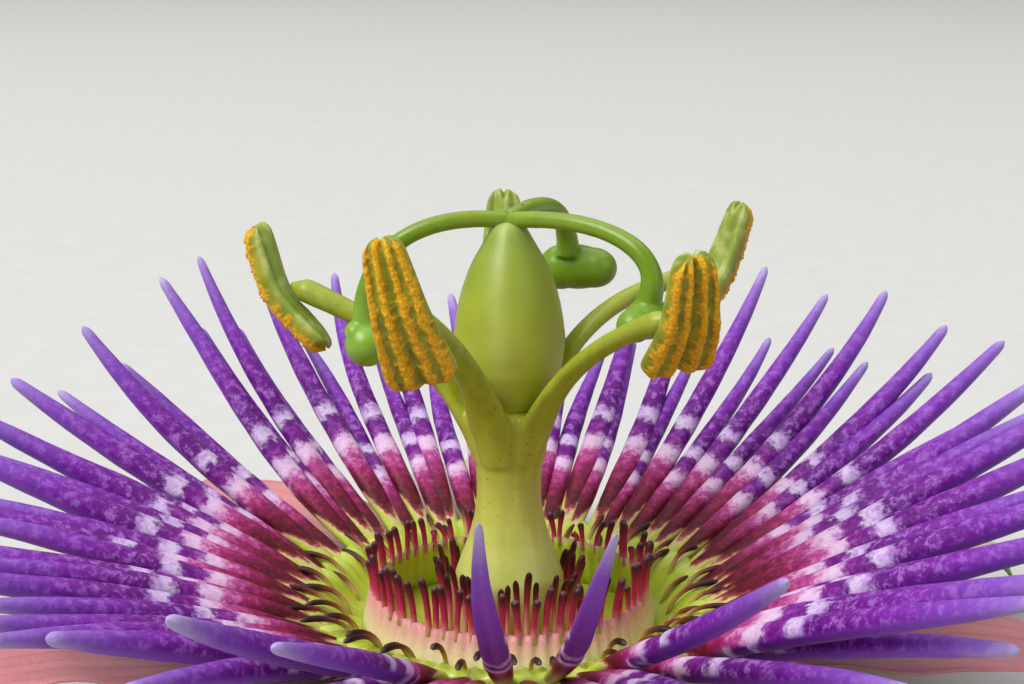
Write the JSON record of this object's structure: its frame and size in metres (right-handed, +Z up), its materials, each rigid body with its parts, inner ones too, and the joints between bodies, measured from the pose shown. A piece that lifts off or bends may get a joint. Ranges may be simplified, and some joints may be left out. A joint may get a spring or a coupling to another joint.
{
  "type": "passion flower",
  "caption": "Open passion flower, face up: banded violet filament crown over pink petals, with a central column carrying stamens, ovary and arched styles",
  "frame": {"origin": "centre of the flower's footprint, on the surface that the calyx cup's base rests on; the column stands on this point's vertical", "axes": "+Z up along the column, -Y towards the viewer, +X to the viewer's right"},
  "size_m": [0.0992, 0.1026, 0.042],
  "materials": {
    "calyx": "satin",
    "stalk": "satin",
    "sepal": "satin",
    "petal": "satin",
    "long_filament": "satin",
    "hook_filament": "satin",
    "fringe": "satin",
    "inner_fringe": "satin",
    "column": "satin",
    "stamen_filament": "satin",
    "pollen": "matte",
    "ovary": "satin",
    "style": "satin"
  },
  "bodies": {
    "root": {"peduncle_stub": "stalk", "calyx_cup": "calyx", "sepal_1": "sepal", "sepal_2": "sepal", "sepal_3": "sepal", "sepal_4": "sepal", "sepal_5": "sepal", "petal_1": "petal", "petal_2": "petal", "petal_3": "petal", "petal_4": "petal", "petal_5": "petal", "corona_outer_row": "long_filament", "corona_second_row": "long_filament", "corona_hooks": "hook_filament", "operculum_fringe": "fringe", "inner_fringe": "inner_fringe", "column": "column", "stamen_filament_1": "stamen_filament", "stamen_filament_2": "stamen_filament", "stamen_filament_3": "stamen_filament", "stamen_filament_4": "stamen_filament", "stamen_filament_5": "stamen_filament", "anther_1": "pollen", "anther_2": "pollen", "anther_3": "pollen", "anther_4": "pollen", "anther_5": "pollen", "ovary": "ovary", "style_1": "style", "style_2": "style", "style_3": "style"}
  },
  "joints": []
}
